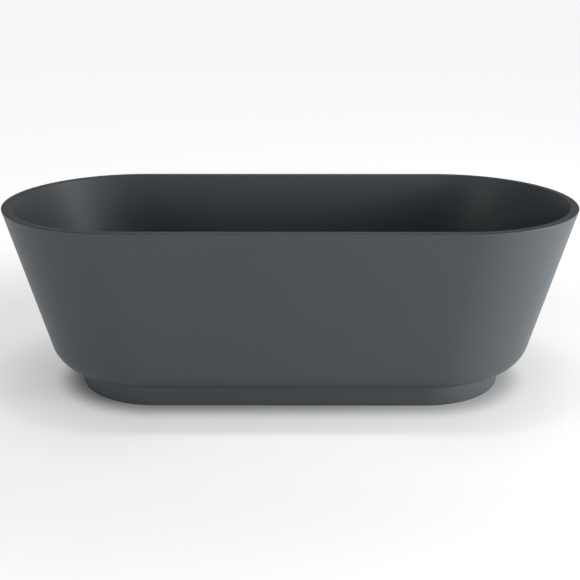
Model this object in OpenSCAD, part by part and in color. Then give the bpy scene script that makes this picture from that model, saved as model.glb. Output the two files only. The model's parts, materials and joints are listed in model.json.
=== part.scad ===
// Freestanding bath: a cast, bonded body (outer shell, inner basin, plinth)
// on a plywood base board with four screw feet, and a push-to-close waste.
// Millimetres. +Z up, X along the length, origin on the floor at the middle.

/* [Body] */
// Overall length at the rim
bath_length = 1700; // [1600:10:1800]
// Overall width at the rim
bath_width = 750; // [700:10:800]
// Height from the floor to the top of the rim
bath_height = 554; // [540:1:600]
// Lean of the long sides, mm inwards per mm of height
side_taper = 0.127; // [0.10:0.001:0.14]
// Lean of the two round ends, mm inwards per mm of height
end_taper = 0.275; // [0.24:0.001:0.29]
// Radius of the rolled lower edge of the shell
roll_r = 75; // [65:1:80]
// Thickness of the cast outer shell
shell_t = 12; // [10:0.5:13]
// Radius of the rim's outer and inner edges
rim_edge_r = 2.5; // [1:0.5:4]

/* [Basin] */
// Width of the flat rim
rim_w = 24.5; // [22:0.5:30]
// Lean of the basin's long sides
basin_side_taper = 0.16; // [0.14:0.01:0.2]
// Lean of the basin's round ends
basin_end_taper = 0.36; // [0.32:0.01:0.42]
// Radius where the basin's walls run into its floor
basin_r = 110; // [80:5:120]
// Thickness of the basin's walls
basin_t = 12; // [10:0.5:13]
// Fall of the floor to the waste
floor_fall = 8; // [4:1:10]

/* [Plinth] */
// Height of the recessed plinth
plinth_h = 63; // [60:1:68]
// Length of the plinth
plinth_length = 1292; // [1240:2:1296]
// Width of the plinth
plinth_width = 504; // [480:2:506]
// Thickness of the plinth wall
plinth_t = 14; // [10:1:18]

/* [Feet] */
// Distance of each foot from the middle, along the length
foot_x = 300; // [280:5:380]
// Distance of each foot from the middle, across the width
foot_y = 150; // [130:5:160]
// Thread radius of the foot's stud
stud_r = 6; // [5:0.5:6]

/* [Waste] */
// Radius of the hole in the basin for the waste
waste_hole_r = 26; // [25:0.5:28]
// Outer radius of the waste's tail
tail_r = 23.9; // [23:0.1:24.5]
// Outer radius of the tail pipe
pipe_r = 20; // [19:0.5:20]

/* [Hidden] */
$fn = 64;

cast_colour = "#4d5256";
seg = 30;                                  // steps round each half circle of the plan
rim_z = bath_height - rim_edge_r;          // height where the rim's rounded edges begin
rt = bath_width / 2;                       // plan radius of the round ends at the rim
at = bath_length / 2 - rt;                 // half length of the straight sides at the rim
end_shift = end_taper - side_taper;
lean = atan(side_taper);
basin_lean = atan(basin_side_taper);
basin_shift = basin_end_taper - basin_side_taper;
bond = 40;                                 // depth of the glued joint under the rim
lip_z = plinth_h + shell_t;                // top of the shell's inward lip
board_t = 18;
under_z = lip_z + board_t;                 // underside of the basin
drain_z = under_z + 14;                    // basin floor at the waste
floor_z = drain_z + floor_fall;            // basin floor where the walls begin
plinth_r = plinth_width / 2;
plinth_a = plinth_length / 2 - plinth_r;
gap = 0.05;                                // play in threads and bores

// Plan radius and straight half length of the outer face at a height.
function out_r(z) = rt - (rim_z - z) * side_taper;
function out_a(z) = at - (rim_z - z) * end_shift;
// The same for the basin's inner face.
function in_r(z) = rt - rim_w - (rim_z - z) * basin_side_taper;
function in_a(z) = at - (rim_z - z) * basin_shift;

// One closed plan curve: two half circles joined by straight sides.
function ring(s) = concat(
  [for (i = [0:seg]) let (t = -90 + 180 * i / seg) [s[0] + s[1] * cos(t), s[1] * sin(t), s[2]]],
  [for (i = [0:seg]) let (t = 90 + 180 * i / seg) [-s[0] + s[1] * cos(t), s[1] * sin(t), s[2]]]);

// A solid through a list of [straight half length, radius, height] sections.
module loft(sections, loop = false) {
  n = 2 * (seg + 1);
  m = len(sections);
  points = [for (s = sections) each ring(s)];
  sides = [for (k = [0:(loop ? m - 1 : m - 2)]) for (j = [0:n - 1])
    let (q = (k + 1) % m, i = (j + 1) % n)
    each [[k * n + j, q * n + j, q * n + i], [k * n + j, q * n + i, k * n + i]]];
  ends = loop ? [] : [[for (j = [0:n - 1]) j], [for (j = [n - 1:-1:0]) (m - 1) * n + j]];
  polyhedron(points = points, faces = concat(sides, ends));
}

module stadium(a, r) {
  square([2 * a, 2 * r], center = true);
  for (s = [-1, 1]) translate([s * a, 0]) circle(r = r, $fn = 120);
}

module tube(r1, r2, z1, z2) {
  translate([0, 0, z1]) difference() {
    cylinder(r = r2, h = z2 - z1);
    translate([0, 0, -1]) cylinder(r = r1, h = z2 - z1 + 2);
  }
}

module at_feet() {
  for (sx = [-1, 1]) for (sy = [-1, 1]) translate([sx * foot_x, sy * foot_y, 0]) children();
}

// ---- cast body ----

roll_z = plinth_h + roll_r;
roll_c = out_r(roll_z) - roll_r / cos(lean);
roll_steps = 9;

module outer_shell() color(cast_colour) {
  e = rim_edge_r;
  h = bath_height;
  angles = [for (k = [0:roll_steps]) -lean - (90 - lean) * k / roll_steps];
  loft(concat(
    [for (t = [90, 60, 30]) [at, rt - e + e * cos(t), h - e + e * sin(t)]],
    [[out_a(h - e), out_r(h - e), h - e]],
    [for (t = angles) let (z = roll_z + roll_r * sin(t)) [out_a(z), roll_c + roll_r * cos(t), z]],
    [[plinth_a, plinth_r - 30, plinth_h], [plinth_a, plinth_r - 30, lip_z]],
    [for (k = [roll_steps:-1:0]) let (t = angles[k], z = roll_z + roll_r * sin(t))
      [out_a(z), roll_c + (roll_r - shell_t) * cos(t), roll_z + (roll_r - shell_t) * sin(t)]],
    [[out_a(h - bond), out_r(h - bond) - shell_t, h - bond], [at, rt - shell_t, h]]),
    loop = true);
}

module inner_basin() color(cast_colour) {
  e = rim_edge_r;
  h = bath_height;
  cz = floor_z + basin_r;
  cr = in_r(cz) - basin_r / cos(basin_lean);
  steps = 9;
  angles = [for (k = [0:steps]) -90 + (90 - basin_lean) * k / steps];
  difference() {
    loft(concat(
      [[1, 60, drain_z]],
      [for (f = [0.35, 0.7]) let (g = f * f * (3 - 2 * f))
        [1 + (in_a(floor_z) - 1) * f, 60 + (cr - 60) * f, drain_z + floor_fall * g]],
      [for (t = angles) let (z = cz + basin_r * sin(t)) [in_a(z), cr + basin_r * cos(t), z]],
      [[in_a(h - e), in_r(h - e), h - e]],
      [for (t = [150, 120, 90]) [at, rt - rim_w + e + e * cos(t), h - e + e * sin(t)]],
      [[at, rt - shell_t, h], [out_a(h - bond), out_r(h - bond) - shell_t, h - bond]],
      [[in_a(h - bond), in_r(h - bond) + basin_t, h - bond]],
      [for (k = [steps:-1:0]) let (t = angles[k], z = cz + basin_r * sin(t))
        [in_a(z), cr + (basin_r + basin_t) * cos(t), cz + (cz - under_z) * sin(t)]]));
    translate([0, 0, under_z - 1]) cylinder(r = waste_hole_r, h = 40);
    translate([0, 0, drain_z - 4.5]) cylinder(r = 37, h = 40);
  }
}

module plinth_ring() color(cast_colour)
  linear_extrude(height = plinth_h) difference() {
    stadium(plinth_a, plinth_r);
    stadium(plinth_a, plinth_r - plinth_t);
  }

// ---- base and feet ----

screw_at = 22;                             // screws from each foot's axis
socket_z = lip_z - 4;                      // underside of a socket's plate
boss_z = socket_z - 14;                    // underside of a socket's boss

module base_board() color("#b08d5c")
  translate([0, 0, lip_z]) linear_extrude(height = board_t) difference() {
    stadium(plinth_a, plinth_r - 16);
    circle(r = 70);
    at_feet() {
      circle(r = stud_r + 1);
      for (x = [-1, 1]) for (y = [-1, 1]) translate([x * screw_at, y * screw_at]) circle(r = 2);
    }
  }

module foot_sockets() color("silver") at_feet() difference() {
  union() {
    translate([-30, -30, socket_z]) cube([60, 60, 4]);
    translate([0, 0, boss_z]) cylinder(r = 11, h = socket_z - boss_z + 2);
  }
  translate([0, 0, boss_z - 1]) cylinder(r = stud_r + gap, h = 40);
  for (x = [-1, 1]) for (y = [-1, 1]) translate([x * screw_at, y * screw_at, 0])
    translate([0, 0, socket_z - 1]) cylinder(r = 2.4, h = 10);
}

module socket_screws() color("gold") at_feet()
  for (x = [-1, 1]) for (y = [-1, 1]) translate([x * screw_at, y * screw_at, 0]) difference() {
    union() {
      translate([0, 0, socket_z]) cylinder(r = 2 - gap, h = 18);
      translate([0, 0, socket_z - 2.4]) cylinder(r1 = 3.2, r2 = 4.2, h = 2.4);
      translate([0, 0, socket_z + 18]) cylinder(r1 = 2 - gap, r2 = 0.4, h = 3);
    }
    for (a = [0, 90]) rotate([0, 0, a]) translate([-2, -0.4, socket_z - 3]) cube([4, 0.8, 1.8]);
  }

module lock_nuts() color("silver") at_feet() difference() {
  translate([0, 0, boss_z - 10]) cylinder(r = 9.5 / cos(30), h = 10, $fn = 6);
  translate([0, 0, boss_z - 11]) cylinder(r = stud_r + gap, h = 12);
}

// A stud: swivel collar in the pad, spanner hexagon, thread up into the socket.
module stud(sx, sy) color("silver") translate([sx * foot_x, sy * foot_y, 0]) {
  translate([0, 0, 4.1]) cylinder(r = 8, h = 8.9);
  translate([0, 0, 13]) cylinder(r = 5, h = 3);
  translate([0, 0, 16]) cylinder(r = 8.5 / cos(30), h = 8, $fn = 6);
  translate([0, 0, 24]) cylinder(r = stud_r, h = under_z - 5 - 24 - 1);
  translate([0, 0, under_z - 6]) cylinder(r1 = stud_r, r2 = stud_r - 1, h = 1);
}
module foot_stud_front_left() stud(-1, -1);
module foot_stud_front_right() stud(1, -1);
module foot_stud_back_left() stud(-1, 1);
module foot_stud_back_right() stud(1, 1);

// A pad: a disc with a socket for the stud's collar, and a lip that holds it in.
module pad(sx, sy) color("#202224") translate([sx * foot_x, sy * foot_y, 0])
  rotate_extrude($fn = 72) polygon([[0, 0], [24, 0], [25, 1], [25, 6], [24, 7.5], [13, 15], [5.4, 15],
    [5.4, 13.4], [8.1, 13.4], [8.1, 4], [0, 4]]);
module foot_pad_front_left() pad(-1, -1);
module foot_pad_front_right() pad(1, -1);
module foot_pad_back_left() pad(-1, 1);
module foot_pad_back_right() pad(1, 1);

// ---- waste ----

flange_z = drain_z - 3;                    // underside of the waste's flange
tail_z = 66;                               // lower end of the waste's tail
bore_r = 20.5;                             // bore of the waste

module waste_body() color("#3c4043") difference() {
  union() {
    difference() {
      union() {
        translate([0, 0, tail_z]) cylinder(r = tail_r, h = drain_z - tail_z - 1);
        rotate_extrude() polygon([[10, flange_z], [35, flange_z], [35, drain_z - 1.2], [34.2, drain_z - 0.4],
          [30, drain_z], [10, drain_z]]);
      }
      translate([0, 0, tail_z - 1]) cylinder(r = bore_r, h = 80);
    }
    translate([0, 0, drain_z - 19]) cylinder(r = 11, h = 8);
    for (a = [0, 120, 240]) rotate([0, 0, a]) translate([9, -1.5, drain_z - 18]) cube([13, 3, 6]);
  }
  translate([0, 0, drain_z - 20]) cylinder(r = 8 + gap, h = 10);
}

module upper_gasket() color("#1a1a1a") tube(waste_hole_r, 34, flange_z - 1.5, flange_z);
module lower_gasket() color("#1a1a1a") tube(tail_r + 0.1, 38, under_z - 3, under_z);
module waste_nut() color("#2b2d30") difference() {
  union() {
    translate([0, 0, under_z - 6]) cylinder(r = 37, h = 3);
    translate([0, 0, under_z - 13]) cylinder(r = 32 / cos(22.5), h = 7, $fn = 8);
  }
  translate([0, 0, under_z - 14]) cylinder(r = tail_r + gap, h = 12);
}

// The plug: a shallow dome with a turned edge, shown closed on its seat.
module plug_cap() color("#3c4043") difference() {
  rotate_extrude($fn = 96) polygon([[0, drain_z - 4], [9, drain_z - 4], [9, drain_z + 2], [31, drain_z + 2],
    [31.6, drain_z + 2.6], [31.6, drain_z + 4.4], [31, drain_z + 5.2],
    for (k = [0:6]) [30 - 5 * k, drain_z + 5.6 + 1.8 * (1 - pow(1 - k / 6, 2))]]);
  translate([0, 0, drain_z - 5]) cylinder(r = 3.5 + gap, h = 9);
}
module plug_seal() color("#1a1a1a") tube(22, 27, drain_z + 0.1, drain_z + 2);
module plug_stem() color("silver") {
  translate([0, 0, drain_z - 30]) cylinder(r = 3.5, h = 33);
  translate([0, 0, drain_z - 23.5]) cylinder(r = 6.3, h = 2);
}
module click_cartridge() color("#b79a55") difference() {
  union() {
    translate([0, 0, drain_z - 35]) cylinder(r = 8, h = 28);
    translate([0, 0, drain_z - 11]) cylinder(r = 8.8 / cos(30), h = 3, $fn = 6);
  }
  translate([0, 0, drain_z - 33]) cylinder(r = 6.6, h = 22);
  translate([0, 0, drain_z - 12]) cylinder(r = 3.5 + gap, h = 8);
}

// The plug's spring, one round wire wound between the cartridge's floor and the stem's collar.
module click_spring() color("silver") {
  turns = 4.5;
  steps = 90;
  wire = 0.5;
  low = drain_z - 33 + wire;
  rise = 9.5 - 2 * wire;
  points = [for (k = [0:steps]) let (t = 360 * turns * k / steps, c = 5.1) for (j = [0:7])
    let (u = 45 * j) [(c + wire * cos(u)) * cos(t), (c + wire * cos(u)) * sin(t), low + rise * k / steps + wire * sin(u)]];
  polyhedron(points = points, faces = concat(
    [for (k = [0:steps - 1]) for (j = [0:7]) let (i = (j + 1) % 8)
      each [[k * 8 + j, (k + 1) * 8 + j, (k + 1) * 8 + i], [k * 8 + j, (k + 1) * 8 + i, k * 8 + i]]],
    [[for (j = [0:7]) j], [for (j = [7:-1:0]) steps * 8 + j]]));
}

// ---- outlet: a tail pipe that drops into a fitting in the floor ----

pipe_top = tail_z - 2;
module tail_pipe() color("#e8e8e6") rotate_extrude() polygon([[18, 2], [19.4, 2], [pipe_r, 2.6], [pipe_r, pipe_top - 8],
  [22, pipe_top - 8], [22, pipe_top - 3], [tail_r - 0.1, pipe_top - 3], [tail_r - 0.1, pipe_top], [18, pipe_top]]);

module union_washer() color("#1a1a1a") tube(18.5, tail_r - 0.1, pipe_top, tail_z);

module union_nut() color("#d8d8d4") difference() {
  union() {
    translate([0, 0, pipe_top - 6]) cylinder(r = 29, h = 20);
    for (k = [0:11]) rotate([0, 0, 30 * k]) translate([28, -2, pipe_top - 5]) cube([3, 4, 18]);
  }
  translate([0, 0, pipe_top - 7]) cylinder(r = 22.3, h = 30);
  translate([0, 0, pipe_top - 3]) cylinder(r = tail_r + gap, h = 30);
}

outer_shell();
inner_basin();
plinth_ring();
base_board();
foot_sockets();
socket_screws();
lock_nuts();
foot_stud_front_left();
foot_stud_front_right();
foot_stud_back_left();
foot_stud_back_right();
foot_pad_front_left();
foot_pad_front_right();
foot_pad_back_left();
foot_pad_back_right();
waste_body();
upper_gasket();
lower_gasket();
waste_nut();
plug_cap();
plug_seal();
plug_stem();
click_cartridge();
click_spring();
tail_pipe();
union_washer();
union_nut();
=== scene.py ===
import json
import math

import bpy
import bmesh
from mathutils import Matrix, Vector


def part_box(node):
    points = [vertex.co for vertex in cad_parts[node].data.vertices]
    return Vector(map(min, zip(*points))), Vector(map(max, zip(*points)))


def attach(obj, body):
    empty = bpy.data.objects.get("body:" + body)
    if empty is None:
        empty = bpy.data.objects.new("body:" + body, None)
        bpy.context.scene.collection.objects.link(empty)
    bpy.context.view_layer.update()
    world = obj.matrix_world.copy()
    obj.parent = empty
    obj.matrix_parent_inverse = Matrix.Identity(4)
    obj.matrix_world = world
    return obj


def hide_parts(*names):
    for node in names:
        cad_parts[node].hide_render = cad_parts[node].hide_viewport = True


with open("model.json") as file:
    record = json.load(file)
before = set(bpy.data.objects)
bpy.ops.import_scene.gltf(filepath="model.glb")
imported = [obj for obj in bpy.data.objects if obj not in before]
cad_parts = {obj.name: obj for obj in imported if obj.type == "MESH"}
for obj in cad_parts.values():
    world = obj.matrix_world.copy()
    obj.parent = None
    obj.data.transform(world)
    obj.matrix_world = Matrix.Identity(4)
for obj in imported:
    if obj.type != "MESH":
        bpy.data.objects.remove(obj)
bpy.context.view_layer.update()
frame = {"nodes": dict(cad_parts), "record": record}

scene = bpy.context.scene
scene.view_settings.view_transform = "Standard"
scene.view_settings.look = "None"

# ---------------------------------------------------------------- sizes, from the CAD frame
shell_lo, shell_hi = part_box("outer_shell")
plinth_lo, plinth_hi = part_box("plinth_ring")
board_lo, board_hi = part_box("base_board")
flange_lo, flange_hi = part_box("waste_body")

H = shell_hi.z
RT = (shell_hi.y - shell_lo.y) / 2                      # plan radius of the round ends at the rim
AT = (shell_hi.x - shell_lo.x) / 2 - RT                 # half length of the straight sides
PLINTH_H = plinth_hi.z
PLINTH_R = (plinth_hi.y - plinth_lo.y) / 2
PLINTH_A = (plinth_hi.x - plinth_lo.x) / 2 - PLINTH_R
SIDE, END = 0.127, 0.275                                # lean of the sides and the ends
ROLL_R, SHELL_T = 0.075, 0.012
RIM_W, EDGE = 0.0245, 0.0025
B_SIDE, B_END, BASIN_R, BASIN_T = 0.16, 0.36, 0.110, 0.012
PLINTH_T, BOND = 0.014, 0.040
UNDER_Z = board_hi.z
DRAIN_Z = flange_hi.z
FLOOR_Z = DRAIN_Z + 0.008
LIP_Z = board_lo.z
RIM_Z = H - EDGE


def out_r(z):
    return RT - (RIM_Z - z) * SIDE


def out_a(z):
    return AT - (RIM_Z - z) * (END - SIDE)


def in_r(z):
    return RT - RIM_W - (RIM_Z - z) * B_SIDE


def in_a(z):
    return AT - (RIM_Z - z) * (B_END - B_SIDE)


# ---------------------------------------------------------------- mesh tools
def plan(a, r, z, seg, straight):
    """One closed plan curve, two half circles joined by straight sides."""
    pts = []
    for i in range(seg + 1):
        t = -math.pi / 2 + math.pi * i / seg
        pts.append((a + r * math.cos(t), r * math.sin(t), z))
    for k in range(1, straight):
        pts.append((a - 2 * a * k / straight, r, z))
    for i in range(seg + 1):
        t = math.pi / 2 + math.pi * i / seg
        pts.append((-a + r * math.cos(t), r * math.sin(t), z))
    for k in range(1, straight):
        pts.append((-a + 2 * a * k / straight, -r, z))
    return pts


def loft(name, sections, loop=False, seg=72, straight=24, cap_start=False, cap_end=False):
    """A skin through a list of (straight half length, radius, height) sections."""
    bm = bmesh.new()
    rings = [[bm.verts.new(p) for p in plan(a, r, z, seg, straight)] for a, r, z in sections]
    n = len(rings[0])
    pairs = list(zip(rings, rings[1:])) + ([(rings[-1], rings[0])] if loop else [])
    for lo, hi in pairs:
        for j in range(n):
            i = (j + 1) % n
            bm.faces.new((lo[j], lo[i], hi[i], hi[j]))
    if cap_start:
        bm.faces.new(rings[0])
    if cap_end:
        bm.faces.new(rings[-1])
    bmesh.ops.recalc_face_normals(bm, faces=bm.faces)
    mesh = bpy.data.meshes.new(name)
    bm.to_mesh(mesh)
    bm.free()
    ob = bpy.data.objects.new(name, mesh)
    scene.collection.objects.link(ob)
    return ob


def revolve(name, profile, steps=96, centre=(0, 0)):
    """A solid of revolution about a vertical axis through centre; profile is a closed list of (r, z)."""
    bm = bmesh.new()
    cols = []
    for i in range(steps):
        t = 2 * math.pi * i / steps
        cols.append([(r, z, t) for r, z in profile])
    grid = []
    axis = {}
    for col in cols:
        line = []
        for k, (r, z, t) in enumerate(col):
            if r < 1e-7:
                if k not in axis:
                    axis[k] = bm.verts.new((centre[0], centre[1], z))
                line.append(axis[k])
            else:
                line.append(bm.verts.new((centre[0] + r * math.cos(t), centre[1] + r * math.sin(t), z)))
        grid.append(line)
    m = len(profile)
    for i in range(steps):
        a, b = grid[i], grid[(i + 1) % steps]
        for k in range(m):
            q = (k + 1) % m
            vs = []
            for v in (a[k], b[k], b[q], a[q]):
                if v not in vs:
                    vs.append(v)
            if len(vs) > 2:
                bm.faces.new(vs)
    bmesh.ops.recalc_face_normals(bm, faces=bm.faces)
    mesh = bpy.data.meshes.new(name)
    bm.to_mesh(mesh)
    bm.free()
    ob = bpy.data.objects.new(name, mesh)
    scene.collection.objects.link(ob)
    return ob


def smooth(ob, angle=35):
    """Smooth shading, kept crisp at real edges."""
    mesh = ob.data
    for p in mesh.polygons:
        p.use_smooth = True
    bm = bmesh.new()
    bm.from_mesh(mesh)
    limit = math.radians(angle)
    for e in bm.edges:
        if len(e.link_faces) == 2 and e.calc_face_angle(0) > limit:
            e.smooth = False
    bm.to_mesh(mesh)
    bm.free()
    return ob


# ---------------------------------------------------------------- materials
def new_material(name):
    m = bpy.data.materials.new(name)
    m.use_nodes = True
    nt = m.node_tree
    for n in list(nt.nodes):
        nt.nodes.remove(n)
    out = nt.nodes.new("ShaderNodeOutputMaterial")
    bsdf = nt.nodes.new("ShaderNodeBsdfPrincipled")
    nt.links.new(bsdf.outputs["BSDF"], out.inputs["Surface"])
    coord = nt.nodes.new("ShaderNodeTexCoord")
    return m, nt, bsdf, coord


def noise(nt, coord, scale, detail=4.0, rough=0.5, stretch=None):
    src = coord.outputs["Object"]
    if stretch:
        mp = nt.nodes.new("ShaderNodeMapping")
        mp.inputs["Scale"].default_value = stretch
        nt.links.new(src, mp.inputs["Vector"])
        src = mp.outputs["Vector"]
    n = nt.nodes.new("ShaderNodeTexNoise")
    n.inputs["Scale"].default_value = scale
    n.inputs["Detail"].default_value = detail
    n.inputs["Roughness"].default_value = rough
    nt.links.new(src, n.inputs["Vector"])
    return n.outputs["Fac"]


def ramp(nt, fac, stops):
    r = nt.nodes.new("ShaderNodeValToRGB")
    el = r.color_ramp.elements
    while len(el) > 1:
        el.remove(el[-1])
    el[0].position, el[0].color = stops[0][0], (*stops[0][1], 1)
    for pos, col in stops[1:]:
        e = el.new(pos)
        e.color = (*col, 1)
    nt.links.new(fac, r.inputs["Fac"])
    return r.outputs["Color"]


def spread(nt, fac, low, high):
    r = nt.nodes.new("ShaderNodeMapRange")
    r.inputs["From Min"].default_value = 0.3
    r.inputs["From Max"].default_value = 0.7
    r.inputs["To Min"].default_value = low
    r.inputs["To Max"].default_value = high
    nt.links.new(fac, r.inputs["Value"])
    return r.outputs["Result"]


def bump(nt, bsdf, layers):
    """layers: (height output, distance in metres, strength)."""
    last = None
    for h, dist, strength in layers:
        b = nt.nodes.new("ShaderNodeBump")
        b.inputs["Distance"].default_value = dist
        b.inputs["Strength"].default_value = strength
        nt.links.new(h, b.inputs["Height"])
        if last:
            nt.links.new(last, b.inputs["Normal"])
        last = b.outputs["Normal"]
    nt.links.new(last, bsdf.inputs["Normal"])


def mixed(nt, fac, a, b, mode="MIX"):
    m = nt.nodes.new("ShaderNodeMix")
    m.data_type = "RGBA"
    m.blend_type = mode
    if isinstance(fac, float):
        m.inputs["Factor"].default_value = fac
    else:
        nt.links.new(fac, m.inputs["Factor"])
    for sock, v in ((m.inputs[6], a), (m.inputs[7], b)):
        if isinstance(v, tuple):
            sock.default_value = (*v, 1)
        else:
            nt.links.new(v, sock)
    return m.outputs[2]


STONE = (0.0430, 0.0500, 0.0553)


def stone_material():
    """Matte cast stone resin: a soft silky face, with the faint cloud of the mix, fine filler grain and sanding."""
    m, nt, bsdf, coord = new_material("cast_stone")
    cloud = noise(nt, coord, 2.2, 3.0, 0.55)
    grain = noise(nt, coord, 900.0, 2.0, 0.6)
    fine = noise(nt, coord, 2600.0, 1.0, 0.5)
    sand = noise(nt, coord, 300.0, 3.0, 0.6, (1.0, 1.0, 0.12))
    c = STONE
    base = ramp(nt, cloud, [(0.3, tuple(v * 0.975 for v in c)), (0.7, tuple(v * 1.025 for v in c))])
    specks = ramp(nt, grain, [(0.30, (0.86, 0.86, 0.86)), (0.48, (1, 1, 1)), (0.66, (1, 1, 1)), (0.80, (1.14, 1.14, 1.14))])
    nt.links.new(mixed(nt, 1.0, base, specks, "MULTIPLY"), bsdf.inputs["Base Color"])
    nt.links.new(spread(nt, sand, 0.38, 0.46), bsdf.inputs["Roughness"])
    bsdf.inputs["Specular IOR Level"].default_value = 0.18
    bump(nt, bsdf, [(grain, 0.00006, 0.35), (fine, 0.00002, 0.3), (sand, 0.00003, 0.25)])
    return m


def painted_material(name, colour, rough=0.42):
    """Powder-coated metal: a very fine orange peel."""
    m, nt, bsdf, coord = new_material(name)
    peel = noise(nt, coord, 700.0, 2.0, 0.5)
    tint = noise(nt, coord, 60.0, 3.0, 0.5)
    nt.links.new(ramp(nt, tint, [(0.3, tuple(v * 0.93 for v in colour)), (0.7, tuple(v * 1.07 for v in colour))]), bsdf.inputs["Base Color"])
    nt.links.new(spread(nt, peel, rough - 0.05, rough + 0.05), bsdf.inputs["Roughness"])
    bsdf.inputs["Specular IOR Level"].default_value = 0.5
    bump(nt, bsdf, [(peel, 0.00005, 0.3)])
    return m


def metal_material(name, colour, rough, stretch=(1, 1, 1)):
    m, nt, bsdf, coord = new_material(name)
    spangle = noise(nt, coord, 220.0, 3.0, 0.6)
    lines = noise(nt, coord, 900.0, 2.0, 0.6, stretch)
    nt.links.new(ramp(nt, spangle, [(0.3, tuple(v * 0.86 for v in colour)), (0.7, tuple(min(1, v * 1.1) for v in colour))]), bsdf.inputs["Base Color"])
    nt.links.new(spread(nt, lines, rough - 0.08, rough + 0.10), bsdf.inputs["Roughness"])
    bsdf.inputs["Metallic"].default_value = 1.0
    bump(nt, bsdf, [(lines, 0.00004, 0.35)])
    return m


def plastic_material(name, colour, rough, grain_scale=1400.0):
    m, nt, bsdf, coord = new_material(name)
    grain = noise(nt, coord, grain_scale, 2.0, 0.6)
    tone = noise(nt, coord, 25.0, 3.0, 0.5)
    nt.links.new(ramp(nt, tone, [(0.3, tuple(v * 0.92 for v in colour)), (0.7, tuple(min(1, v * 1.06) for v in colour))]), bsdf.inputs["Base Color"])
    nt.links.new(spread(nt, grain, rough - 0.06, rough + 0.06), bsdf.inputs["Roughness"])
    bump(nt, bsdf, [(grain, 0.00005, 0.3)])
    return m


def rubber_material(name, colour):
    m, nt, bsdf, coord = new_material(name)
    grain = noise(nt, coord, 1100.0, 3.0, 0.6)
    bloom = noise(nt, coord, 45.0, 3.0, 0.55)
    nt.links.new(ramp(nt, bloom, [(0.35, colour), (0.75, tuple(v * 1.9 for v in colour))]), bsdf.inputs["Base Color"])
    nt.links.new(spread(nt, grain, 0.72, 0.88), bsdf.inputs["Roughness"])
    bump(nt, bsdf, [(grain, 0.00008, 0.4)])
    return m


def plywood_material(name):
    m, nt, bsdf, coord = new_material(name)
    grain = noise(nt, coord, 26.0, 5.0, 0.6, (0.5, 9.0, 9.0))
    pores = noise(nt, coord, 160.0, 3.0, 0.6, (0.15, 5.0, 5.0))
    col = ramp(nt, grain, [(0.25, (0.30, 0.185, 0.095)), (0.5, (0.44, 0.295, 0.165)), (0.75, (0.55, 0.39, 0.235))])
    dark = ramp(nt, pores, [(0.32, (0.72, 0.68, 0.62)), (0.46, (1, 1, 1))])
    axes = nt.nodes.new("ShaderNodeSeparateXYZ")
    nt.links.new(coord.outputs["Object"], axes.inputs["Vector"])
    plies = nt.nodes.new("ShaderNodeMath")                 # one veneer every 2 mm, seen on the edges
    plies.operation = "PINGPONG"
    plies.inputs[1].default_value = 0.002
    nt.links.new(axes.outputs["Z"], plies.inputs[0])
    band = nt.nodes.new("ShaderNodeMapRange")
    band.inputs["From Min"].default_value = 0.0008
    band.inputs["From Max"].default_value = 0.0012
    nt.links.new(plies.outputs["Value"], band.inputs["Value"])
    veneer = mixed(nt, band.outputs["Result"], (0.74, 0.66, 0.58), (1.0, 1.0, 1.0))
    col = mixed(nt, 1.0, col, veneer, "MULTIPLY")
    nt.links.new(mixed(nt, 1.0, col, dark, "MULTIPLY"), bsdf.inputs["Base Color"])
    nt.links.new(spread(nt, grain, 0.55, 0.75), bsdf.inputs["Roughness"])
    bump(nt, bsdf, [(grain, 0.0003, 0.3), (pores, 0.0002, 0.4)])
    return m


MAT = {
    "cast_stone": stone_material(),
    "plywood": plywood_material("plywood"),
    "zinc_steel": metal_material("zinc_steel", (0.56, 0.56, 0.54), 0.36),
    "black_nylon": plastic_material("black_nylon", (0.022, 0.023, 0.024), 0.55),
    "waste_black": painted_material("waste_black", (0.050, 0.055, 0.060)),
    "plug_black": painted_material("plug_black", (0.050, 0.055, 0.060)),
    "seal_rubber": rubber_material("seal_rubber", (0.014, 0.014, 0.015)),
    "brass": metal_material("brass", (0.62, 0.45, 0.20), 0.30, (1, 1, 20)),
    "spring_steel": metal_material("spring_steel", (0.55, 0.55, 0.56), 0.25),
    "pipe_white": plastic_material("pipe_white", (0.74, 0.74, 0.72), 0.38),
}


def finish(ob, slot, body, *nodes):
    ob.data.materials.clear()
    ob.data.materials.append(MAT[slot])
    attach(ob, body)
    if nodes:
        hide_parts(*nodes)
    return ob


# ---------------------------------------------------------------- cast body
roll_z = PLINTH_H + ROLL_R
lean = math.atan(SIDE)
roll_c = out_r(roll_z) - ROLL_R / math.cos(lean)


def shell_sections():
    e = EDGE
    s = []
    s.append((AT, RT - SHELL_T, H))
    s.append((AT, RT - SHELL_T * 0.6, H))
    for k in range(9):                                   # rounded outer edge of the rim
        t = math.radians(90 - (90 + math.degrees(lean)) * k / 8)
        r, z = RT - e + e * math.cos(t), H - e + e * math.sin(t)
        s.append((AT if z >= RIM_Z else out_a(z), r, z))
    top = RIM_Z - 0.004
    steps = 34
    first = roll_z - ROLL_R * math.sin(lean)
    for k in range(steps):                               # the wall
        z = top + (first - top) * k / steps
        s.append((out_a(z), out_r(z), z))
    for k in range(37):                                  # the rolled lower edge
        t = -lean - (math.pi / 2 - lean) * k / 36
        z = roll_z + ROLL_R * math.sin(t)
        s.append((out_a(z), roll_c + ROLL_R * math.cos(t), z))
    s.append((PLINTH_A, PLINTH_R - 0.030, PLINTH_H))
    s.append((PLINTH_A, PLINTH_R - 0.030, LIP_Z))
    for k in range(12, -1, -1):
        t = -lean - (math.pi / 2 - lean) * k / 12
        z = roll_z + ROLL_R * math.sin(t)
        s.append((out_a(z), roll_c + (ROLL_R - SHELL_T) * math.cos(t), roll_z + (ROLL_R - SHELL_T) * math.sin(t)))
    s.append((out_a(H - BOND), out_r(H - BOND) - SHELL_T, H - BOND))
    return s


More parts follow.
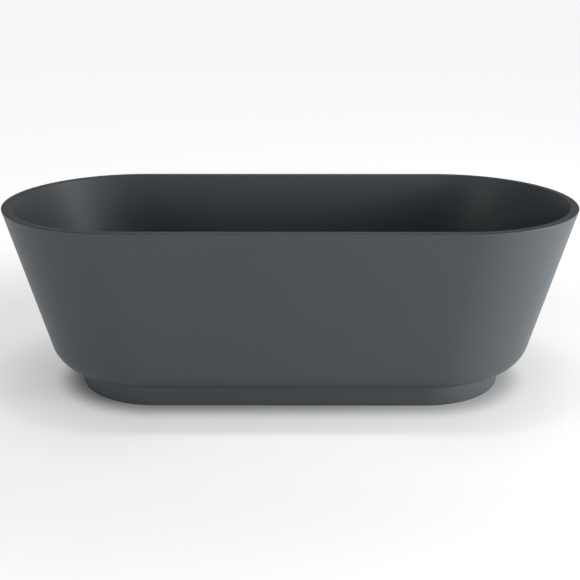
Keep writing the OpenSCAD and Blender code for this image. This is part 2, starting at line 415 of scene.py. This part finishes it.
shell = smooth(loft("outer_shell_cast", shell_sections(), loop=True))
finish(shell, "cast_stone", "bath", "outer_shell")


def basin_sections():
    e = EDGE
    cz = FLOOR_Z + BASIN_R
    tilt = math.atan(B_SIDE)
    cr = in_r(cz) - BASIN_R / math.cos(tilt)
    s = []
    # the waste recess, its rounded lip, and the floor falling to it
    s.append((0.0, 0.026, UNDER_Z))
    s.append((0.0, 0.026, DRAIN_Z - 0.0045))
    s.append((0.0, 0.0352, DRAIN_Z - 0.0045))
    for k in range(7):
        t = math.radians(180 - 90 * k / 6)
        s.append((0.0, 0.0371 + 0.0012 + 0.0012 * math.cos(t), DRAIN_Z - 0.0012 + 0.0012 * math.sin(t)))
    s.append((0.0, 0.060, DRAIN_Z))
    for k in range(1, 25):
        f = k / 24
        g = f * f * (3 - 2 * f)
        s.append((in_a(FLOOR_Z) * f, 0.060 + (cr - 0.060) * f, DRAIN_Z + (FLOOR_Z - DRAIN_Z) * g))
    for k in range(1, 37):
        t = -math.pi / 2 + (math.pi / 2 - tilt) * k / 36
        z = cz + BASIN_R * math.sin(t)
        s.append((in_a(z), cr + BASIN_R * math.cos(t), z))
    z0 = s[-1][2]
    for k in range(1, 30):
        z = z0 + (RIM_Z - 0.003 - z0) * k / 29
        s.append((in_a(z), in_r(z), z))
    for k in range(9):                                   # rounded inner edge of the rim
        t = math.radians(180 - math.degrees(tilt)) if k == 0 else math.radians(180 - 90 * k / 8)
        r, z = RT - RIM_W + e + e * math.cos(t), H - e + e * math.sin(t)
        s.append((AT, r, z))
    s.append((AT, RT - SHELL_T - 0.004, H))
    s.append((AT, RT - SHELL_T, H))
    s.append((out_a(H - BOND), out_r(H - BOND) - SHELL_T, H - BOND))
    s.append((in_a(H - BOND), in_r(H - BOND) + BASIN_T, H - BOND))
    for k in range(12, -1, -1):
        t = -math.pi / 2 + (math.pi / 2 - tilt) * k / 12
        z = cz + BASIN_R * math.sin(t)
        s.append((in_a(z), cr + (BASIN_R + BASIN_T) * math.cos(t), cz + (cz - UNDER_Z) * math.sin(t)))
    return s


basin = loft("inner_basin_cast", basin_sections(), loop=True)
bm = bmesh.new()
bm.from_mesh(basin.data)
bmesh.ops.remove_doubles(bm, verts=bm.verts, dist=1e-6)
bmesh.ops.recalc_face_normals(bm, faces=bm.faces)
bm.to_mesh(basin.data)
bm.free()
smooth(basin)
finish(basin, "cast_stone", "bath", "inner_basin")


def plinth_sections():
    s = []
    b = 0.0015
    s.append((PLINTH_A, PLINTH_R - PLINTH_T, PLINTH_H))
    s.append((PLINTH_A, PLINTH_R - PLINTH_T, b))
    s.append((PLINTH_A, PLINTH_R - PLINTH_T + b, 0.0))
    s.append((PLINTH_A, PLINTH_R - b, 0.0))
    for k in range(1, 7):
        t = math.radians(-90 + 90 * k / 6)
        s.append((PLINTH_A, PLINTH_R - b + b * math.cos(t), b + b * math.sin(t)))
    for k in range(1, 8):
        s.append((PLINTH_A, PLINTH_R, b + (PLINTH_H - b) * k / 7))
    return s


plinth = smooth(loft("plinth_cast", plinth_sections(), loop=True))
finish(plinth, "cast_stone", "bath", "plinth_ring")

# ---------------------------------------------------------------- small parts, turned, threaded and chamfered
def join(name, parts):
    """One mesh from several closed meshes."""
    bm = bmesh.new()
    for p in parts:
        bm.from_mesh(p.data)
        old = p.data
        bpy.data.objects.remove(p)
        bpy.data.meshes.remove(old)
    mesh = bpy.data.meshes.new(name)
    bm.to_mesh(mesh)
    bm.free()
    ob = bpy.data.objects.new(name, mesh)
    scene.collection.objects.link(ob)
    return ob


def rounded(profile, r, steps=4):
    """The closed (radius, height) profile with every corner eased by r, less where a side is short."""
    out = []
    n = len(profile)
    for k in range(n):
        p, c, q = Vector(profile[k - 1]), Vector(profile[k]), Vector(profile[(k + 1) % n])
        if c.x < 1e-6:
            out.append(tuple(c))
            continue
        u, v = p - c, q - c
        d = min(r, u.length * 0.45, v.length * 0.45)
        a, b = c + u.normalized() * d, c + v.normalized() * d
        for j in range(steps + 1):
            f = j / steps
            out.append(tuple(a * (1 - f) ** 2 + c * 2 * f * (1 - f) + b * f * f))
    return out


def thread(name, core, crest, pitch, z0, z1, centre=(0, 0), steps=32):
    """A right-hand thread: one closed ridge wound on a core, fading in and out over its first and last half turn."""
    bm = bmesh.new()
    turns = (z1 - z0) / pitch - 0.75
    n = int(turns * steps)
    rings = []
    for k in range(n + 1):
        t = 2 * math.pi * k / steps
        fade = max(0.04, min(1.0, k / (steps / 2), (n - k) / (steps / 2)))
        top = core + (crest - core) * fade
        z = z0 + pitch * k / steps
        low = core - 0.00025
        ring = [(low, z), (top, z + pitch * 0.33), (top, z + pitch * 0.46), (low, z + pitch * 0.79)]
        rings.append([bm.verts.new((centre[0] + r * math.cos(t), centre[1] + r * math.sin(t), h)) for r, h in ring])
    for p, q in zip(rings, rings[1:]):
        for j in range(4):
            i = (j + 1) % 4
            bm.faces.new((p[j], q[j], q[i], p[i]))
    bm.faces.new(rings[0])
    bm.faces.new(rings[-1])
    bmesh.ops.recalc_face_normals(bm, faces=bm.faces)
    mesh = bpy.data.meshes.new(name)
    bm.to_mesh(mesh)
    bm.free()
    ob = bpy.data.objects.new(name, mesh)
    scene.collection.objects.link(ob)
    return ob


def hexagon(name, flat, bore, z0, z1, centre=(0, 0), sides=6, steps=96, ease=1.0):
    """A nut: flats with the turned chamfer that cuts its corners, and a chamfered bore."""
    bm = bmesh.new()
    half = math.pi / sides
    rings = []
    for key in range(8):
        ring = []
        for i in range(steps):
            t = 2 * math.pi * i / steps
            hexr = flat / math.cos((t % (2 * half)) - half)
            cut = (hexr - flat * 0.985) * 0.577 * ease
            r, z = ((bore + 0.0006, z0), (flat * 0.985, z0), (hexr, z0 + cut), (hexr, z1 - cut), (flat * 0.985, z1),
                    (bore + 0.0006, z1), (bore, z1 - 0.0006), (bore, z0 + 0.0006))[key]
            ring.append(bm.verts.new((centre[0] + r * math.cos(t), centre[1] + r * math.sin(t), z)))
        rings.append(ring)
    for k in range(8):
        p, q = rings[k], rings[(k + 1) % 8]
        for i in range(steps):
            j = (i + 1) % steps
            bm.faces.new((p[i], p[j], q[j], q[i]))
    bmesh.ops.recalc_face_normals(bm, faces=bm.faces)
    mesh = bpy.data.meshes.new(name)
    bm.to_mesh(mesh)
    bm.free()
    ob = bpy.data.objects.new(name, mesh)
    scene.collection.objects.link(ob)
    return ob


def eased(node, width, segments=2):
    """The node's own shape in a new mesh, with its sharp edges broken by a small round."""
    src = frame["nodes"][node].data
    bm = bmesh.new()
    bm.from_mesh(src)
    bmesh.ops.remove_doubles(bm, verts=bm.verts, dist=1e-6)
    bmesh.ops.dissolve_limit(bm, angle_limit=math.radians(0.5), verts=bm.verts, edges=bm.edges)
    sharp = [e for e in bm.edges if len(e.link_faces) == 2 and e.calc_face_angle(0) > math.radians(35)]
    bmesh.ops.bevel(bm, geom=sharp, offset=width, offset_type="OFFSET", segments=segments, profile=0.5,
                    affect="EDGES", clamp_overlap=True)
    bmesh.ops.remove_doubles(bm, verts=bm.verts, dist=1e-7)
    bmesh.ops.triangulate(bm, faces=[f for f in bm.faces if len(f.verts) > 4])
    mesh = bpy.data.meshes.new(node + "_eased")
    bm.to_mesh(mesh)
    bm.free()
    ob = bpy.data.objects.new(node + "_eased", mesh)
    scene.collection.objects.link(ob)
    return ob


slot_of = {s["node"]: s["material_slot"] for s in frame["record"]["subparts"]}
body_of = {n: b for b, ns in frame["record"]["behaviour"]["bodies"].items() for n in ns}
replaced = {"outer_shell", "inner_basin", "plinth_ring"}


def place(ob, node, angle=35):
    smooth(ob, angle)
    replaced.add(node)
    return finish(ob, slot_of[node], body_of[node], node)


# the plug: a turned cap, its dome falling to a rounded rim
lo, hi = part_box("plug_cap")
cap_r, cap_top, cap_under = (hi.x - lo.x) / 2, hi.z, DRAIN_Z + 0.002
dome = [(cap_r - 0.0016, DRAIN_Z + 0.0052), (cap_r, DRAIN_Z + 0.0042), (cap_r, DRAIN_Z + 0.0026), (cap_r - 0.0006, cap_under),
        (0.0095, cap_under), (0.0090, cap_under - 0.0005), (0.0090, lo.z + 0.0005), (0.0085, lo.z), (0.0040, lo.z),
        (0.0036, lo.z + 0.0005), (0.0036, DRAIN_Z + 0.0040), (0.0, DRAIN_Z + 0.0040)]
profile = rounded(dome[:4], 0.0004)[2:] + dome[4:]
profile += [(0.030 * math.sin(math.pi / 2 * k / 20), DRAIN_Z + 0.0056 + (cap_top - DRAIN_Z - 0.0056) * (1 - math.sin(math.pi / 2 * k / 20) ** 2)) for k in range(21)]
place(revolve("plug_cap_turned", profile, 160), "plug_cap", 50)

# the waste: a turned flange over a threaded tail, with the cross that carries the cartridge
lo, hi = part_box("waste_body")
fl_r, tail_low = (hi.x - lo.x) / 2, lo.z
tail_r = 0.0239
bore = 0.0205
neck = [(bore, tail_low), (tail_r - 0.0007, tail_low), (tail_r - 0.0007, DRAIN_Z - 0.016), (tail_r, DRAIN_Z - 0.015), (tail_r, DRAIN_Z - 0.003),
        (fl_r, DRAIN_Z - 0.003), (fl_r, DRAIN_Z - 0.0009), (fl_r - 0.0022, DRAIN_Z), (0.0250, DRAIN_Z), (bore, DRAIN_Z - 0.0035)]
parts = [revolve("w1", rounded(neck, 0.0005), 144), thread("w2", tail_r - 0.0007, tail_r, 0.0021, tail_low + 0.0006, DRAIN_Z - 0.016, steps=64)]
hub = [(0.0081, DRAIN_Z - 0.019), (0.0110, DRAIN_Z - 0.019), (0.0110, DRAIN_Z - 0.011), (0.0081, DRAIN_Z - 0.011)]
parts.append(revolve("w3", rounded(hub, 0.0006), 64))
for a in (0, 120, 240):
    arm = bmesh.new()
    bmesh.ops.create_cube(arm, size=1.0)
    for v in arm.verts:
        x, y, z = v.co
        x, y, z = 0.0157 + x * 0.0105, y * 0.0030 * (0.8 if z > 0 else 1.0), DRAIN_Z - 0.015 + z * 0.006
        c, s_ = math.cos(math.radians(a)), math.sin(math.radians(a))
        v.co = (x * c - y * s_, x * s_ + y * c, z)
    bmesh.ops.bevel(arm, geom=list(arm.edges), offset=0.0005, segments=3, profile=0.5, affect="EDGES")
    mesh = bpy.data.meshes.new("arm")
    arm.to_mesh(mesh)
    arm.free()
    ob = bpy.data.objects.new("arm", mesh)
    scene.collection.objects.link(ob)
    parts.append(ob)
place(join("waste_body_turned", parts), "waste_body", 30)

# four feet: moulded pad, forged stud with a rolled thread, chamfered lock nut
for f in ("front_left", "front_right", "back_left", "back_right"):
    lo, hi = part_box("foot_pad_" + f)
    c = ((lo.x + hi.x) / 2, (lo.y + hi.y) / 2)
    pad_r = (hi.x - lo.x) / 2
    sole = [(0.0, 0.0006), (0.0085, 0.0006), (0.0090, 0.0)]
    for r in (0.0125, 0.0165, 0.0205):
        sole += [(r, 0.0), (r + 0.0005, 0.0006), (r + 0.0015, 0.0006), (r + 0.0020, 0.0)]
    body = [(pad_r - 0.0010, 0.0), (pad_r, 0.0010), (pad_r, 0.0060), (pad_r - 0.0010, 0.0075), (0.0130, hi.z), (0.0054, hi.z),
            (0.0054, 0.0134), (0.0081, 0.0134), (0.0081, 0.0040)]
    prof = sole + rounded([sole[-1]] + body + [(0.0, 0.0040)], 0.0010)[5:-1] + [(0.0, 0.0040)]
    place(revolve("foot_pad_" + f + "_moulded", prof, 96, c), "foot_pad_" + f, 40)

    lo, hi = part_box("foot_stud_" + f)
    c = ((lo.x + hi.x) / 2, (lo.y + hi.y) / 2)
    collar = [(0.0, 0.0041), (0.0080, 0.0041), (0.0080, 0.0130), (0.0050, 0.0130), (0.0050, 0.0165), (0.0, 0.0165)]
    rod = [(0.0, 0.0235), (0.0053, 0.0235), (0.0053, hi.z - 0.0010), (0.0044, hi.z), (0.0, hi.z)]
    place(join("foot_stud_" + f + "_rolled", [
        revolve("s1", rounded(collar, 0.0005), 64, c),
        hexagon("s2", 0.0085, 0.0046, 0.0160, 0.0240, c),
        revolve("s3", rounded(rod, 0.0003), 64, c),
        thread("s4", 0.0053, 0.0060, 0.00175, 0.0246, hi.z - 0.0008, c)]), "foot_stud_" + f, 30)

lo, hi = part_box("lock_nuts")
stud_x = [(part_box("foot_stud_" + f)[0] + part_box("foot_stud_" + f)[1]) / 2 for f in ("front_left", "front_right", "back_left", "back_right")]
place(join("lock_nuts_chamfered", [hexagon("n%d" % i, 0.0095, 0.00605, lo.z, hi.z, (v.x, v.y)) for i, v in enumerate(stud_x)]), "lock_nuts", 30)

for node, w in (("foot_sockets", 0.0006), ("waste_nut", 0.0006), ("union_nut", 0.0006), ("tail_pipe", 0.0003), ("click_cartridge", 0.0003),
                ("plug_stem", 0.0003), ("socket_screws", 0.00012), ("base_board", 0.0008)):
    place(eased(node, w), node)

# ---------------------------------------------------------------- CAD nodes that keep their shape
for name, ob in frame["nodes"].items():
    if name in replaced:
        continue
    ob.data.materials.clear()
    ob.data.materials.append(MAT[slot_of[name]])

# ---------------------------------------------------------------- floor, lights, camera
floor_mesh = bpy.data.meshes.new("floor")
bm = bmesh.new()
size = 70.0
vs = [bm.verts.new((x, y, -0.0005)) for x, y in ((-size, -size), (size, -size), (size, size), (-size, size))]
bm.faces.new(vs)
bm.to_mesh(floor_mesh)
bm.free()
floor = bpy.data.objects.new("floor", floor_mesh)
scene.collection.objects.link(floor)
fm, nt, bsdf, coord = new_material("pale_floor")
bsdf.inputs["Base Color"].default_value = (0.5, 0.5, 0.5, 1)
bsdf.inputs["Roughness"].default_value = 0.9
bsdf.inputs["Specular IOR Level"].default_value = 0.0


def calc(op, a, b=None):
    n = nt.nodes.new("ShaderNodeMath")
    n.operation = op
    for sock, v in zip(n.inputs, (a, b)):
        if v is None:
            continue
        if isinstance(v, float):
            sock.default_value = v
        else:
            nt.links.new(v, sock)
    return n.outputs[0]


def fade(value, lo, hi, top):
    n = nt.nodes.new("ShaderNodeMapRange")
    n.interpolation_type = "SMOOTHSTEP"
    n.inputs["From Min"].default_value = lo
    n.inputs["From Max"].default_value = hi
    n.inputs["To Max"].default_value = top
    nt.links.new(value, n.inputs["Value"])
    return n.outputs["Result"]


# a lit white table that also glows by emission; the glow is faded to nothing towards the plinth, a painted contact
# shadow around the bath, and is even further out
axes = nt.nodes.new("ShaderNodeSeparateXYZ")
nt.links.new(coord.outputs["Object"], axes.inputs["Vector"])
along = calc("MAXIMUM", calc("SUBTRACT", calc("ABSOLUTE", axes.outputs["X"]), PLINTH_A), 0.0)
reach = calc("SQRT", calc("ADD", calc("MULTIPLY", along, along), calc("MULTIPLY", axes.outputs["Y"], axes.outputs["Y"])))
# painted contact shadow: no glow at the plinth, rising over the first 0.10 m and 0.45 m from it
painted_shadow_near_glow = calc("ADD", fade(reach, PLINTH_R, PLINTH_R + 0.10, 0.353), fade(reach, PLINTH_R, PLINTH_R + 0.45, 0.260))
floor_glow_with_painted_shadow = calc("ADD", painted_shadow_near_glow, fade(reach, PLINTH_R + 0.5, PLINTH_R + 1.6, 0.233))
bsdf.inputs["Emission Color"].default_value = (1, 1, 1, 1)
# the emission strength carries the floor glow together with its painted shadow near the bath
nt.links.new(floor_glow_with_painted_shadow, bsdf.inputs["Emission Strength"])
floor_mesh.materials.append(fm)

# the studio around it: bright at the horizon, dim overhead
world = bpy.data.worlds.new("studio")
scene.world = world
world.use_nodes = True
wt = world.node_tree
bg = wt.nodes["Background"]
bg.inputs["Color"].default_value = (1.0, 1.0, 1.0, 1)
direction = wt.nodes.new("ShaderNodeTexCoord")
axes = wt.nodes.new("ShaderNodeSeparateXYZ")
wt.links.new(direction.outputs["Generated"], axes.inputs["Vector"])
sky = wt.nodes.new("ShaderNodeValToRGB")
sky.color_ramp.interpolation = "EASE"
el = sky.color_ramp.elements
el[0].position, el[0].color = 0.10, (0.86, 0.86, 0.86, 1)
el[1].position, el[1].color = 0.65, (0.06, 0.06, 0.06, 1)
for pos in (0.25, 0.45):
    e = el.new(pos)
    e.color = (0.36, 0.36, 0.36, 1)
wt.links.new(axes.outputs["Z"], sky.inputs["Fac"])
wt.links.new(sky.outputs["Color"], bg.inputs["Strength"])


def area(name, azimuth, elevation, distance, w, h, power, target=(0, 0, 0.3)):
    """A soft box; azimuth is from -Y towards +X."""
    a, e = math.radians(azimuth), math.radians(elevation)
    loc = Vector(target) + distance * Vector((math.sin(a) * math.cos(e), -math.cos(a) * math.cos(e), math.sin(e)))
    d = bpy.data.lights.new(name, "AREA")
    d.shape = "RECTANGLE"
    d.size, d.size_y = w, h
    d.energy = power
    o = bpy.data.objects.new(name, d)
    o.location = loc
    o.rotation_euler = (Vector(target) - loc).to_track_quat("-Z", "Y").to_euler()
    scene.collection.objects.link(o)
    return o


area("right_low", 75, 7, 4.0, 1.6, 1.0, 211.2)
area("right_end_low", 100, 7, 4.0, 1.6, 1.0, 16.0)
area("front_right_low", 45, 9, 4.5, 2.0, 1.0, 52.9)
area("front_right_mid", 45, 30, 4.5, 2.5, 2.0, 4.0)
area("front_left_low", -45, 9, 4.5, 2.0, 1.0, 65.5)
area("left_low", -75, 7, 4.0, 1.6, 1.0, 11.0)
beam = area("basin_beam", 0, 90, 3.0, 1.0, 0.35, 3.0, (0, 0, 0))
beam.rotation_euler = (0, 0, 0)
beam.data.spread = math.radians(22)

cam_d = bpy.data.cameras.new("camera")
cam_d.sensor_width = 36.0
cam_d.lens = 62.04
cam = bpy.data.objects.new("camera", cam_d)
yaw = math.radians(0.156)
dist, height, pitch = 2.910, 1.2608, math.radians(18.781)
cam.location = (dist * math.sin(yaw), -dist * math.cos(yaw), height)
cam.rotation_euler = (math.pi / 2 - pitch, 0.0, yaw)
scene.collection.objects.link(cam)
scene.camera = cam
